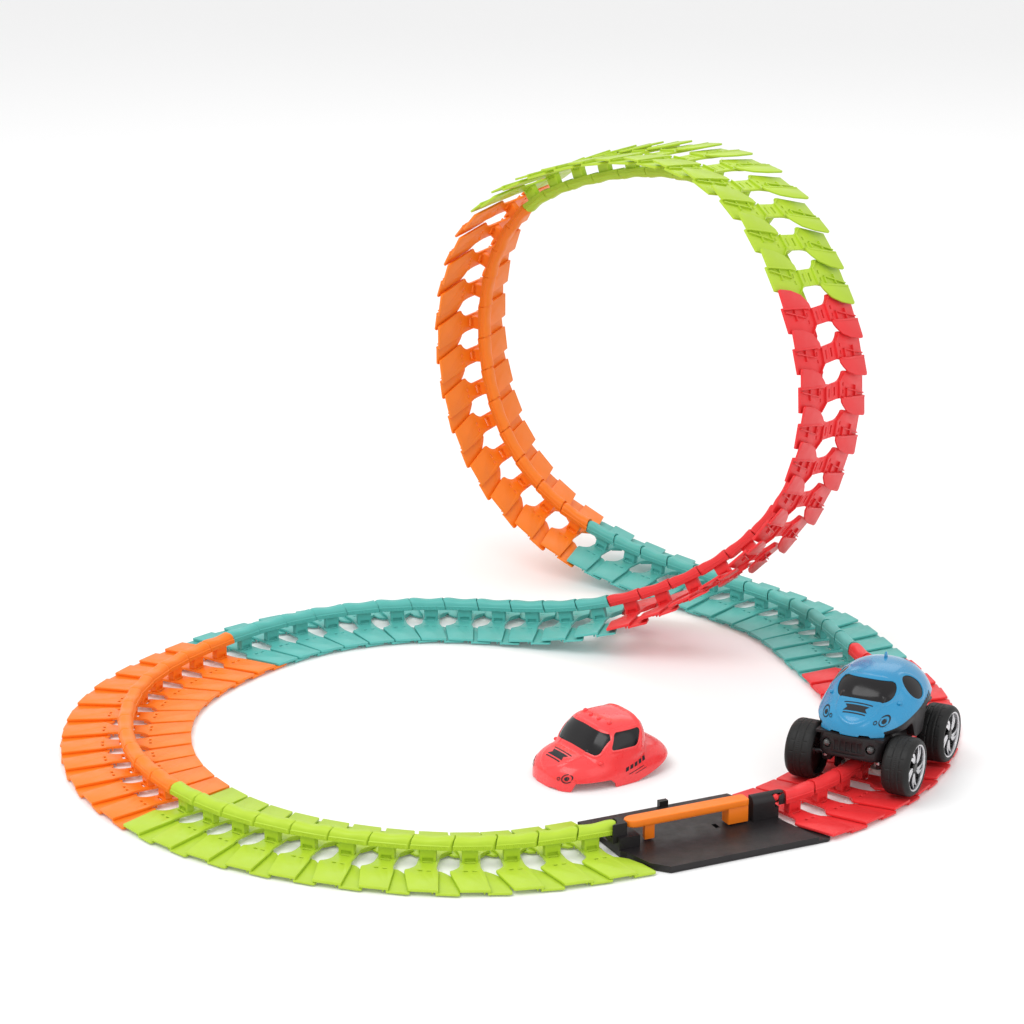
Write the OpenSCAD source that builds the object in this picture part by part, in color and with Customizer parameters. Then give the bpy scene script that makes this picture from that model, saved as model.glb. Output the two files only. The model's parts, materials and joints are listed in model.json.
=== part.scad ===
// Flexible snap-together rail track set with a vertical loop, one car and a spare car shell.
// Frame: +Z up from the floor, origin under the middle of the layout, millimetres.

/* [Track link] */
// Distance from one ball joint to the next
pitch = 25; // [24.8:0.1:25.2]
// Full width of the running plates
track_w = 85; // [82:1:86]
// Thickness of a running plate
plate_t = 1.8; // [1.5:0.1:2]
// Height of the running surface over the floor
plate_top = 4.2; // [4.1:0.1:4.4]
// Width of the rail head
rail_w = 10; // [9.6:0.1:10.4]
// Height of the rail head's underside over the floor
rail_under = 12.45; // [12.2:0.05:12.6]
// Height of the rail head's top over the floor
rail_top = 20.2; // [19.8:0.1:20.4]
// Height of the ball joints over the floor
ball_h = 17; // [16.8:0.1:17.2]

/* [Layout] */
// Radius of the right-hand curve
curve_r = 222; // [218:1:226]
// Direction in which the loop is entered, anticlockwise from +X
loop_heading = 144; // [140:1:148]
// Direction of the start station
station_heading = 25.4; // [24:0.2:27]

/* [Car] */
// Tyre radius
tyre_r = 18.8; // [18:0.1:18.9]
// Tyre width
tyre_w = 18; // [16:0.5:18]
// Distance between the axles
wheelbase = 64; // [62:1:66]
// Place of the car on the right-hand curve, in links from the station
car_link = 4.1; // [3:0.1:6]

/* [Hidden] */
$fn = 48;

red = [0.93, 0.25, 0.27];
teal = [0.44, 0.76, 0.75];
orange = [1, 0.58, 0.2];
green = [0.75, 0.88, 0.3];
black = [0.12, 0.11, 0.12];
blue = [0.2, 0.55, 0.75];

// ---- Route of the ball joints -------------------------------------------------------------

link_count = 96;
section = 12;
curve_centre = [35, -55];
curve_start = -55;
curve_end = 8;
curve_steps = 60;
station_end = [56.5, -281.5, ball_h];
station_run_in = 23;
span = 90;
span_steps = 16;
low = ball_h;
// Control points of the spline from the right-hand curve round to the station
climb = [[215, 135, low], [100, 240, low]];
loop_up = [[30, 275, 47], [-15, 290, 112], [-25, 295, 207], [0, 265, 277], [40, 220, 312]];
loop_down = [
  [120, 155, 337], [170, 100, 317], [195, 65, 267], [215, 55, 202], [200, 60, 127], [160, 65, 77]
];
run_out = [[100, 90, 37], [30, 115, low], [-60, 140, low], [-155, 110, low]];
left_curve = [[-215, 45, low], [-260, -35, low], [-255, -130, low], [-230, -195, low], [-165, -275, low]];
// Links between which the track leans from flat ground into the loop and back
lean_in = [17, 28];
lean_out = [55, 66];

// Brings the middle of the finished layout over the origin
centre_shift = [-0.46, 5.42, 0];

function unit(v) = v / norm(v);
function heading(a) = [cos(a), sin(a), 0];
function smooth(x) = let (t = min(1, max(0, x))) t * t * (3 - 2 * t);
function curve_point(a) = [curve_centre[0], curve_centre[1], ball_h] + curve_r * heading(a);

curve_exit = curve_point(curve_end);
exit_dir = heading(curve_end + 90);
exit_in = -heading(curve_end) * span * span / curve_r;
end_dir = heading(station_run_in);
controls = concat(
  [
    curve_exit - exit_dir * span + exit_in / 3,
    curve_exit - exit_in / 6,
    curve_exit + exit_dir * span + exit_in / 3
  ],
  climb, loop_up, loop_down, run_out, left_curve,
  [station_end - end_dir * span, station_end, station_end + end_dir * span]
);
// Point t of a uniform cubic B-spline's stretch k
function spline(c, k, t) =
  ((1 - t) ^ 3 * c[k] + (3 * t ^ 3 - 6 * t ^ 2 + 4) * c[k + 1]
  + (-3 * t ^ 3 + 3 * t ^ 2 + 3 * t + 1) * c[k + 2] + t ^ 3 * c[k + 3]) / 6;
route = concat(
  [for (i = [0:curve_steps - 1]) curve_point(curve_start + (curve_end - curve_start) * i / curve_steps)],
  [for (k = [0:len(controls) - 4]) for (j = [0:span_steps - 1]) spline(controls, k, j / span_steps)],
  [station_end]
);
// Distance along the route at each of its points, and the joints at equal steps of that distance
steps = [for (i = [0:len(route) - 1]) i == 0 ? 0 : norm(route[i] - route[i - 1])];
distance = [for (i = 0, s = 0; i < len(route); i = i + 1, s = i < len(route) ? s + steps[i] : s) s];
route_length = distance[len(distance) - 1];
along = [for (axis = [0:2]) [for (i = [0:len(route) - 1]) [distance[i], route[i][axis]]]];
joints = [for (i = [0:link_count]) [for (axis = [0:2]) lookup(route_length * i / link_count, along[axis])]];

// Left-hand direction of link i: level on the floor, along the loop's own axis in the loop
function lean(i) = smooth((i + 0.5 - lean_in[0]) / (lean_in[1] - lean_in[0]))
  * smooth((lean_out[1] - i - 0.5) / (lean_out[1] - lean_out[0]));
function forward(i) = unit(joints[i + 1] - joints[i]);
function level_left(f) = unit(cross([0, 0, 1], f));
function blend_left(i) = lean(i) * heading(loop_heading + 90) + (1 - lean(i)) * level_left(forward(i));
function leftward(i) = let (f = forward(i), b = blend_left(i)) unit(b - (b * f) * f);

module at_link(i) {
  f = forward(i);
  l = leftward(i);
  u = cross(f, l);
  p = joints[i];
  translate(centre_shift)
    multmatrix([for (axis = [0:2]) [f[axis], l[axis], u[axis], p[axis]]])
      children();
}

// ---- Track link: origin at its ball, +X towards the next ball, +Z up ------------------------

// Heights from the ball joint
z_plate = plate_top - ball_h;
z_under = rail_under - ball_h;
z_top = rail_top - ball_h;
z_floor = -ball_h;
level_gap = 0.6;
tab_top = z_plate - plate_t - level_gap;
half_w = track_w / 2;
rail_r = rail_w / 2;
nose_r = 6;
seam_gap = 0.8;
ball_r = 2.25;
ball_play = 0.25;
neck_r = 1;
slot_half = 2.05;
slot_top = 2.4;
// Middle of the post, about which the two wings mirror each other
post_x = 14.9;
post_l = 10;
post_w = 5;

module rail_profile() {
  intersection() {
    translate([0, z_top - rail_r]) circle(rail_r);
    translate([-rail_r, z_under]) square([rail_w, z_top - z_under]);
  }
  translate([-rail_r, z_under]) square([rail_w, z_top - rail_r - z_under]);
}

module rail_bar(from, to) {
  translate([from, 0, 0]) rotate([90, 0, 90]) linear_extrude(to - from) rail_profile();
}

module nose_end(pivot_x) {
  translate([pivot_x, 0, z_floor]) cylinder(r = nose_r, h = 2 * ball_h);
  translate([pivot_x - pitch, -rail_r, z_floor]) cube([pitch, rail_w, 2 * ball_h]);
}

// Pocket in the front end that takes the next ball, open below and in front
module ball_pocket(half) {
  translate([0, 0, z_under - 1]) {
    cylinder(r = ball_r + ball_play, h = slot_top + 1 - z_under);
    translate([0, -half, 0]) cube([nose_r + 2, 2 * half, slot_top + 1 - z_under]);
  }
}

module ball_and_neck(reach) {
  sphere(r = ball_r);
  rotate([0, 90, 0]) cylinder(r = neck_r, h = reach);
}

// Outline points of a wing on the right-hand side, from the post outwards
neck_y = -6.5;
shoulder_y = -17;
neck_back = 8.7;
neck_front = 21.1;
plate_back = [[neck_back, neck_y], [8.1, -9], [6.2, -12.2], [2.9, -14.8], [2.9, shoulder_y], [8.9, -half_w]];
plate_corner = [26.9, -half_w];
plate_shoulder = [23.4, shoulder_y];
plate_root = [22, -12.5];
plate_front = [plate_corner, plate_shoulder, plate_root, [21.3, -9.5], [neck_front, neck_y]];
tab_front = [[39.2, -half_w], [39.9, -41.3], [39.6, -39], [31, -18.5], [26.5, -15], [22.4, -13.5]];
// Width of the step that joins the plate to its lower tab
inward = [2.2, 0];
// Keeps the tabs off the floor where the track tips down to it
tab_lift = 0.4;

module wing() {
  translate([0, 0, z_plate - plate_t]) linear_extrude(plate_t)
    polygon(concat([[neck_back, 0]], plate_back, plate_front, [[neck_front, 0]]));
  translate([0, 0, z_floor + tab_lift]) linear_extrude(tab_top - z_floor - tab_lift)
    polygon(concat([plate_corner - inward], tab_front,
      [plate_root - inward - [0, 1], plate_shoulder - inward]));
  translate([0, 0, z_floor]) linear_extrude(z_plate - z_floor)
    polygon([plate_corner - inward, plate_corner, plate_shoulder, plate_root, plate_root - inward,
      plate_shoulder - inward]);
}

hole = 2.6;
hole_x = 2.65;
hole_y = -15.5;
slot = [6.2, 1.8];

// Two square holes in the plate and the slot beside the post
module wing_holes() {
  for (x = [-hole_x, hole_x])
    translate([post_x + x - hole / 2, hole_y - hole / 2, z_floor - 1]) cube([hole, hole, 2 * plate_top]);
  translate([post_x - slot[0] / 2, -post_w / 2 - 2, z_floor - 1]) cube([slot[0], slot[1], plate_top + 2.2]);
}

module both_wings() {
  children();
  translate([2 * post_x, 0, 0]) rotate([0, 0, 180]) children();
}

module link() {
  difference() {
    union() {
      intersection() {
        rail_bar(0, pitch + nose_r);
        nose_end(pitch);
      }
      translate([post_x - post_l / 2, -post_w / 2, z_plate - 1])
        cube([post_l, post_w, z_under - z_plate + 2]);
      both_wings() wing();
    }
    cylinder(r = nose_r + seam_gap, h = 4 * ball_h, center = true);
    translate([pitch, 0, 0]) ball_pocket(slot_half);
    both_wings() wing_holes();
  }
  ball_and_neck(nose_r + seam_gap + 1);
}

// One coloured run of the track
module links(run, tint) {
  color(tint) for (i = [run * section:(run + 1) * section - 1]) at_link(i) link();
}

module green_link(n) {
  color(green) at_link(7 * section + n - 1) link();
}

// ---- Start station: origin on the floor under its middle, +X along the travel ----------------

station_at = [112.7, -257.3, 0];
module at_station() {
  translate(station_at + centre_shift) rotate([0, 0, station_heading]) children();
}
// The end joints, seen in the station's own frame
function in_station(p) = let (d = p - station_at)
  [d * heading(station_heading), d * heading(station_heading + 90), 0];
left_ball = in_station(joints[link_count]);
right_ball = in_station(joints[0]);
gate_pivot = 28;
gate_pin_r = 1.6;
base_front = -42;
base_back = 42;
gate_left = -49.6;
gate_right = 34.5;
gate_under = 16;
gate_top = 20;
gate_t = gate_top - gate_under;
foot_h = gate_under - plate_top;

module station_plate() {
  difference() {
    linear_extrude(plate_top) polygon([
      [-60.2, base_back], [45, base_back], [54, 17], [55, 4], [55, -10], [62, base_front],
      [-40, base_front], [-49, -32], [-54, -12], [-57, -9], [-57, 17]
    ]);
    translate([27, 10, -1]) cube([40, 40, plate_top - plate_t + 1]);
  }
  linear_extrude(plate_top - plate_t - level_gap) polygon([
    [50, base_front], [69, base_front], [71.5, base_front + 2.5], [64, -20], [55, -13], [50, -13]
  ]);
}

module station_base() {
  color(black) at_station() difference() {
    union() {
      station_plate();
      // Left post with the ball for the last link, and the ledge that the gate's tip lies on
      translate([-57, -8, 1]) cube([14, 16, 10.8]);
      translate([-52, -rail_r, 8]) cube([1.6, rail_w, gate_top - 8]);
      difference() {
        translate([-60, -rail_r, 8]) cube([9, rail_w, gate_top - 8]);
        translate([left_ball[0], left_ball[1], 11.8]) cylinder(r = nose_r + seam_gap, h = gate_top);
      }
      // Right post with the rail end that takes the first link's ball
      translate([37, -5, 1]) cube([18, 10, rail_under]);
      translate([0, 0, ball_h]) intersection() {
        rail_bar(37, 65);
        translate([right_ball[0], right_ball[1], 0]) rotate([0, 0, 2]) nose_end(0);
      }
      // Pin boss under the gate and the small locating tab on the back edge
      translate([gate_pivot, 0, 1]) cylinder(r = 4, h = plate_top - 0.6);
      translate([-4, base_back - 2, 1]) cube([6, 3.5, 7]);
    }
    translate([right_ball[0], right_ball[1], ball_h]) rotate([0, 0, 12.8]) ball_pocket(1.6);
    translate([gate_pivot, 0, -1]) cylinder(r = gate_pin_r + 0.02, h = 12);
    translate([12, -3, -1]) cube([3, 6, 8]);
  }
  color(black) at_station() translate([left_ball[0], left_ball[1], ball_h])
    ball_and_neck(nose_r + seam_gap + 2);
}

module station_gate() {
  color(orange) at_station() difference() {
    union() {
      hull() {
        translate([gate_left + rail_r, 0, gate_under]) cylinder(r = rail_r, h = gate_t, $fn = 32);
        translate([gate_right - 8, -rail_r, gate_under]) cube([8, rail_w, gate_t]);
      }
      translate([gate_pivot - 8, -rail_r + 0.5, plate_top + 0.9]) cube([14, rail_w - 1, foot_h]);
      translate([-37, -2.5, plate_top + 0.5]) cube([7, 5, foot_h]);
    }
    translate([gate_pivot, 0, 0]) cylinder(r = gate_pin_r + 0.05, h = 40);
  }
}

module station_gate_pin() {
  color("silver") at_station() translate([gate_pivot, 0, 0.4]) cylinder(r = gate_pin_r, h = gate_top - 1.4);
}

// ---- Car: origin on the floor under its middle, +X towards its nose ---------------------------

car_angle = curve_start + 1 + car_link * pitch / curve_r * 180 / PI;
module at_car() {
  translate([curve_centre[0], curve_centre[1], 0] + curve_r * heading(car_angle) + centre_shift)
    rotate([0, 0, car_angle - 90]) children();
}
wheel_z = plate_top + 19.1;
wheel_y = 23.5;
axle_r = 1.5;
fit = 0.05;
tub_x = 44;
tub_y = 22.6;
wall = 1.4;
floor_z = 25.2;
floor_t = 1.8;
tub_floor = floor_z + floor_t;
deck_z = 40.6;
deck_t = 1.6;
roller_x = 14;
roller_y = 9.9;
roller_r = 3.8;
lip_r = 5.9;
gear_z = 28.2;
gear_h = 3;
drive_teeth = 20;
pinion_teeth = 10;
tooth = roller_y / drive_teeth;
mesh_angle = -25;
mesh_run = roller_y * (1 + pinion_teeth / drive_teeth);
// Turns the pinion so that its teeth stand in the gaps of the gear
pinion_shift = (mesh_angle + 180) * pinion_teeth / 360 + mesh_angle * drive_teeth / 360 - 0.5;
motor_x = roller_x + mesh_run * cos(mesh_angle);
motor_y = roller_y + mesh_run * sin(mesh_angle);
lamp_y = 14.5;
lamp_z = 35;
screw_x = 38;
screw_y = 18;

module mirrored(v) {
  children();
  mirror(v) children();
}
module four() {
  mirrored([1, 0, 0]) mirrored([0, 1, 0]) children();
}

module car_chassis() {
  color(black) at_car() difference() {
    union() {
      translate([-tub_x, -tub_y, floor_z]) difference() {
        cube([2 * tub_x, 2 * tub_y, deck_z - floor_z]);
        translate([wall, wall, floor_t]) cube([2 * (tub_x - wall), 2 * (tub_y - wall), deck_z]);
      }
      // Front and rear bumpers
      translate([tub_x - 1, -20, 24]) cube([3.4, 40, 15.5]);
      translate([-tub_x - 1.4, -18, 24]) cube([2.4, 10, 12]);
      translate([-tub_x - 1.4, 8, 24]) cube([2.4, 10, 12]);
      // Bearing blocks, roller bosses and screw bosses
      four() translate([wheelbase / 2 - 4, 15, 19.3]) cube([8, 6.2, floor_z - 19]);
      four() translate([roller_x, roller_y, 22.6]) cylinder(r = 3, h = 4);
      four() translate([screw_x, screw_y, floor_z + 1]) cylinder(r = 2.4, h = deck_z - floor_z - 1);
      // Skirts beside the rail
      mirrored([0, 1, 0]) translate([-22, 16.4, 9]) cube([44, 1.6, floor_z - 8]);
    }
    four() translate([wheelbase / 2, 14, wheel_z]) rotate([-90, 0, 0]) cylinder(r = 2.62, h = 9);
    four() translate([roller_x, roller_y, 20]) cylinder(r = axle_r + fit, h = 10);
    four() translate([screw_x, screw_y, 20]) cylinder(r = 1, h = 30);
    mirrored([0, 1, 0]) translate([tub_x - 3, lamp_y, lamp_z]) rotate([0, 90, 0]) cylinder(r = 2.7, h = 8);
    translate([-tub_x - 3, -4.2, 32.4]) cube([6, 8.4, 3.2]);
  }
}

module car_deck() {
  color(black) at_car() difference() {
    translate([-tub_x, -tub_y, deck_z]) cube([2 * tub_x, 2 * tub_y, deck_t]);
    translate([motor_x - 6.6, motor_y - 5.6, deck_z - 1]) cube([13.2, 11.2, 4]);
    four() translate([screw_x, screw_y, 30]) cylinder(r = 1, h = 30);
  }
}

module gearbox_cover() {
  color([0.75, 0.75, 0.72]) at_car() difference() {
    union() {
      translate([roller_x - 5, -20, gear_z + gear_h + 0.5]) cube([25.5, 40, 1.2]);
      for (y = [-18.6, 16.6])
        translate([roller_x + 12, y, tub_floor]) cube([4, 2, gear_z + gear_h + 1 - tub_floor]);
    }
    mirrored([0, 1, 0]) translate([roller_x, roller_y, 30]) cylinder(r = 1 + fit, h = 6);
    translate([motor_x, motor_y, 30]) cylinder(r = 1.2, h = 6);
  }
}

// A spur gear whose teeth are narrowed to leave backlash
module gear(teeth, h, shift) {
  step = 360 / teeth;
  root = tooth * teeth - 1.05;
  tip = tooth * teeth + 0.8;
  // Radius, and place in steps, of each corner of one tooth
  corners = [
    [root, -0.36], [root, -0.3], [tooth * teeth, -0.21], [tip, -0.1],
    [tip, 0.1], [tooth * teeth, 0.21], [root, 0.3]
  ];
  function corner(i, q) = let (a = step * (i + q[1] + shift)) q[0] * [cos(a), sin(a)];
  linear_extrude(h) polygon([for (i = [0:teeth - 1]) for (q = corners) corner(i, q)]);
}

module roller(shaft_top) {
  translate([0, 0, 9.2]) cylinder(r = lip_r, h = 2.6);
  translate([0, 0, 11]) cylinder(r = axle_r, h = shaft_top - 11);
  translate([0, 0, 12.7]) cylinder(r = roller_r, h = 4.4);
}

module drive_roller(side, shift) {
  color([0.9, 0.9, 0.88]) at_car() translate([roller_x, side * roller_y, 0]) {
    roller(gear_z + 1);
    translate([0, 0, gear_z]) gear(drive_teeth, gear_h, shift);
    translate([0, 0, gear_z + 1]) cylinder(r = 1, h = gear_h + 0.3);
  }
}

module idler_roller(side) {
  color([0.9, 0.9, 0.88]) at_car() translate([-roller_x, side * roller_y, 0]) {
    roller(tub_floor + 1);
    translate([0, 0, tub_floor + 0.3]) cylinder(r = 2.6, h = 1.6);
  }
}

module motor_pinion() {
  color([0.85, 0.7, 0.3]) at_car() translate([motor_x, motor_y, gear_z]) {
    gear(pinion_teeth, gear_h, pinion_shift);
    cylinder(r = 1, h = 7);
  }
}

module motor() {
  color("silver") at_car() difference() {
    translate([motor_x - 6, motor_y - 5, gear_z + gear_h + 1.75]) cube([12, 10, 15]);
    translate([motor_x, motor_y, gear_z]) cylinder(r = 1 + fit, h = 8);
  }
}

module axle(x) {
  color("silver") at_car() translate([x, -40, wheel_z]) rotate([-90, 0, 0]) cylinder(r = axle_r, h = 80);
}

module axle_bushes() {
  color([0.8, 0.65, 0.3]) at_car() four() translate([wheelbase / 2, 15, wheel_z]) rotate([-90, 0, 0])
    difference() {
      cylinder(r = 2.6, h = 6.2);
      translate([0, 0, -1]) cylinder(r = axle_r + fit, h = 9);
    }
}

rim_r = 14.9;
module rim() {
  difference() {
    cylinder(r = rim_r, h = tyre_w - 0.6);
    translate([0, 0, 1.5]) cylinder(r = rim_r - 1.3, h = tyre_w);
    translate([0, 0, -1]) cylinder(r = axle_r + 0.02, h = tyre_w);
  }
  difference() {
    union() {
      cylinder(r = 3.6, h = tyre_w - 1.5);
      for (a = [0:60:300]) rotate([0, 0, a]) translate([2, -1.6, tyre_w - 4]) cube([rim_r - 2.6, 3.2, 2]);
    }
    translate([0, 0, -1]) cylinder(r = axle_r + 0.02, h = tyre_w);
  }
}

module tyre() {
  rotate_extrude($fn = 64) polygon([[15, 0], [17.2, 0], [18.3, 1.4], [tyre_r, 4], [tyre_r, tyre_w - 4],
    [18.3, tyre_w - 1.4], [17.2, tyre_w], [15, tyre_w]]);
}

module wheel_pair(x) {
  at_car() for (side = [-1, 1]) translate([x, side * wheel_y, wheel_z]) rotate([-90 * side, 0, 0]) children();
}

module car_lamps() {
  color([0.8, 0.8, 0.8]) at_car() mirrored([0, 1, 0]) translate([tub_x - 2, lamp_y, lamp_z]) {
    rotate([0, 90, 0]) cylinder(r = 2.5, h = 5);
    translate([5, 0, 0]) sphere(r = 2.5);
  }
}

// Two AAA cells side by side
cell_r = 5.2;
cell_l = 43;
cell_y = 5.6;
cell_z = 48.9;
cell_room = 0.3;
tray_w = 24;

module cell_beds(from, length) {
  for (y = [-cell_y, cell_y])
    translate([from, y, cell_z]) rotate([0, 90, 0]) cylinder(r = cell_r + cell_room, h = length);
}

module battery_tray() {
  color(black) at_car() difference() {
    translate([-41, -tray_w / 2, deck_z + deck_t]) cube([47, tray_w, 6]);
    cell_beds(-40.5, 46);
  }
}

module batteries() {
  color([0.75, 0.62, 0.35]) at_car() for (y = [-cell_y, cell_y])
    translate([-39.5, y, cell_z]) rotate([0, 90, 0]) {
      cylinder(r = cell_r, h = cell_l);
      translate([0, 0, cell_l - 1]) cylinder(r = 1.9, h = 2);
    }
}

module battery_contacts() {
  color("silver") at_car() for (y = [-cell_y, cell_y]) for (x = [-40.3, 4.7])
    translate([x, y - 3, 45.5]) cube([0.6, 6, 7]);
}

module battery_cover() {
  color(black) at_car() difference() {
    translate([-34, -tray_w / 2, cell_z - 0.5]) cube([37, tray_w, 7.4]);
    cell_beds(-39, 50);
    translate([-39, -cell_y, 43]) cube([50, 2 * cell_y, 11.4]);
  }
}

module circuit_board() {
  color([0.1, 0.4, 0.2]) at_car() {
    translate([8, -18, deck_z + deck_t + 0.6]) cube([12, 14, 1.2]);
    translate([11, -14, deck_z + deck_t + 1.4]) cube([5, 6, 1.6]);
    for (x = [9, 18]) translate([x, -11.5, deck_z + deck_t]) cube([1, 1, 1]);
  }
}

module power_switch() {
  color("white") at_car() {
    translate([-tub_x - 1.6, -4, 32.1]) cube([1.3, 4.4, 3.8]);
    translate([-tub_x - 1, -3.2, 32.7]) cube([3, 2.8, 2.6]);
    translate([-tub_x + wall + 0.3, -4.4, 31.6]) cube([1, 5.2, 4.8]);
  }
}

module chassis_screws() {
  color("silver") at_car() four() translate([screw_x, screw_y, 0]) {
    translate([0, 0, floor_z - 1.4]) cylinder(r = 2, h = 1.4);
    translate([0, 0, floor_z - 1]) cylinder(r = 0.95, h = 14);
  }
}

// ---- Shells: origin under their middle at the lower edge, +X towards the nose -------------------

module blob(at, size, inset) {
  translate(at) scale([for (s = size) s - inset]) sphere(r = 1, $fn = 28);
}
module round_body(inset) {
  blob([-3, 0, 0], [43, 31, 38], inset);
  hull() {
    blob([19, 0, 0], [27, 31, 21], inset);
    blob([-20, 0, 0], [26, 32, 22], inset);
  }
}
module pickup_body(inset) {
  hull() {
    blob([10, 0, 4], [20, 25, 35], inset);
    blob([-4, 0, 4], [19, 25, 39], inset);
  }
  hull() {
    blob([22, 0, 0], [27, 32, 18], inset);
    blob([-26, 0, 0], [23, 29, 18], inset);
  }
}
// Openings for the windscreen, the side windows and the rear window
module window_cuts() {
  translate([10, -19, 16]) cube([40, 38, 10]);
  translate([-12, -40, 16]) cube([18, 80, 10]);
  translate([-60, -14, 18]) cube([30, 28, 7]);
}

module above_edge() {
  translate([-60, -60, 0]) cube([120, 120, 60]);
}
shell_t = 1.5;
arch_r = 20.4;

// Outer form less inner form, cut off at the lower edge and open at the windows and wheel arches
module shell_skin() {
  difference() {
    intersection() {
      children(0);
      above_edge();
    }
    children(1);
    window_cuts();
    for (x = [-wheelbase / 2, wheelbase / 2]) translate([x, 0, wheel_z - deck_z - deck_t]) rotate([90, 0, 0])
      cylinder(r = arch_r, h = 120, center = true);
  }
}

// A thin tinted liner behind the windows
module glazing() {
  difference() {
    intersection() {
      children(0);
      translate([-36, -60, 14]) cube([90, 120, 14.5]);
    }
    children(1);
  }
}

shell_z = deck_z + deck_t + 0.1;
module car_shell() {
  color(blue) at_car() translate([0, 0, shell_z]) shell_skin() {
    round_body(0);
    round_body(shell_t);
  }
}
module car_windows() {
  color([0.1, 0.1, 0.12]) at_car() translate([0, 0, shell_z]) glazing() {
    round_body(shell_t + 0.1);
    round_body(shell_t + 1.2);
  }
}

spare_at = [57.5, -149.6, 0];
spare_heading = 213;
module at_spare() {
  translate(spare_at + centre_shift) rotate([0, 0, spare_heading]) children();
}
module spare_shell() {
  color(red) at_spare() shell_skin() {
    pickup_body(0);
    pickup_body(shell_t);
  }
}
module spare_windows() {
  color([0.1, 0.1, 0.12]) at_spare() glazing() {
    pickup_body(shell_t + 0.1);
    pickup_body(shell_t + 1.2);
  }
}

links(0, red);  // red_curve_links
links(1, teal);  // teal_climb_links
links(2, orange);  // orange_loop_links
links(3, green);  // green_loop_links
links(4, red);  // red_loop_links
links(5, teal);  // teal_back_links
links(6, orange);  // orange_curve_links
green_link(1);  // green_link_01
green_link(2);  // green_link_02
green_link(3);  // green_link_03
green_link(4);  // green_link_04
green_link(5);  // green_link_05
green_link(6);  // green_link_06
green_link(7);  // green_link_07
green_link(8);  // green_link_08
green_link(9);  // green_link_09
green_link(10);  // green_link_10
green_link(11);  // green_link_11
green_link(12);  // green_link_12
station_base();
station_gate();
station_gate_pin();
car_chassis();
car_deck();
car_shell();
car_windows();
car_lamps();
axle(wheelbase / 2);  // front_axle
axle(-wheelbase / 2);  // rear_axle
color("silver") wheel_pair(wheelbase / 2) rim();  // front_rims
color("silver") wheel_pair(-wheelbase / 2) rim();  // rear_rims
color(black) wheel_pair(wheelbase / 2) tyre();  // front_tyres
color(black) wheel_pair(-wheelbase / 2) tyre();  // rear_tyres
axle_bushes();
drive_roller(1, 0);  // drive_roller_left
drive_roller(-1, 0.5);  // drive_roller_right
idler_roller(1);  // idler_roller_left
idler_roller(-1);  // idler_roller_right
motor_pinion();
motor();
gearbox_cover();
battery_tray();
batteries();
battery_contacts();
battery_cover();
circuit_board();
power_switch();
chassis_screws();
spare_shell();
spare_windows();
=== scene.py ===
import json
import math

import bmesh
import bpy
import numpy as np
from mathutils import Matrix, Vector


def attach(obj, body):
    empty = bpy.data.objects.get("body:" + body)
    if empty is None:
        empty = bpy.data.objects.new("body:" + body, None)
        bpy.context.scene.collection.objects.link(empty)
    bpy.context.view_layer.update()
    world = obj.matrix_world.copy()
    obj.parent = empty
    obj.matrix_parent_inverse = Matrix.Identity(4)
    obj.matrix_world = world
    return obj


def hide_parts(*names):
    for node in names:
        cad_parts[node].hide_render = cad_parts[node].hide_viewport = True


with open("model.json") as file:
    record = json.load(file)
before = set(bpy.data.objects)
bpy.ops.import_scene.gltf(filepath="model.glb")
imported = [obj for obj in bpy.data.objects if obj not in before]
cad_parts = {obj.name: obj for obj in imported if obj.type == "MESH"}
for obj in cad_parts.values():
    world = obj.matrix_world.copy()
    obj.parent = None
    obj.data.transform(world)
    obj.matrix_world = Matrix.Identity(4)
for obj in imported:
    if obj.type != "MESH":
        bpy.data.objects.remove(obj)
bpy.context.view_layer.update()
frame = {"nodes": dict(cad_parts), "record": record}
MM = 0.001


# ---- Camera, floor and lights ---------------------------------------------------------------

CAMERA_AT = (-0.00046, -1.947827, 0.73858)
CAMERA_TILT = 72.6177
SENSOR_WIDTH = 36
LENS = 105.68
FLOOR_DROP = 0.0004


def make_camera():
    data = bpy.data.cameras.new("camera")
    data.sensor_width = SENSOR_WIDTH
    data.lens = LENS
    data.clip_end = 20
    camera = bpy.data.objects.new("camera", data)
    bpy.context.scene.collection.objects.link(camera)
    camera.location = CAMERA_AT
    camera.rotation_euler = (math.radians(CAMERA_TILT), 0, 0)
    bpy.context.scene.camera = camera


def area_light(name, at, aim, size, power):
    data = bpy.data.lights.new(name, "AREA")
    data.shape = "RECTANGLE"
    data.size, data.size_y = size
    data.energy = power
    light = bpy.data.objects.new(name, data)
    bpy.context.scene.collection.objects.link(light)
    light.location = at
    light.rotation_euler = (Vector(aim) - Vector(at)).to_track_quat("-Z", "Y").to_euler()


def make_studio():
    bpy.context.scene.view_settings.view_transform = "Standard"
    world = bpy.data.worlds.new("studio")
    bpy.context.scene.world = world
    world.use_nodes = True
    background = world.node_tree.nodes["Background"]
    background.inputs["Color"].default_value = (1, 1, 1, 1)
    background.inputs["Strength"].default_value = 0.9
    area_light("key", (-0.9, -0.9, 1.9), (0, 0, 0.1), (1.8, 1.2), 21)
    area_light("fill", (1.5, -1.2, 1.2), (0, 0, 0.1), (1.6, 1.6), 6)
    area_light("back", (0.3, 1.8, 1.6), (0, 0.1, 0.2), (1.8, 1.0), 7)


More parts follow.
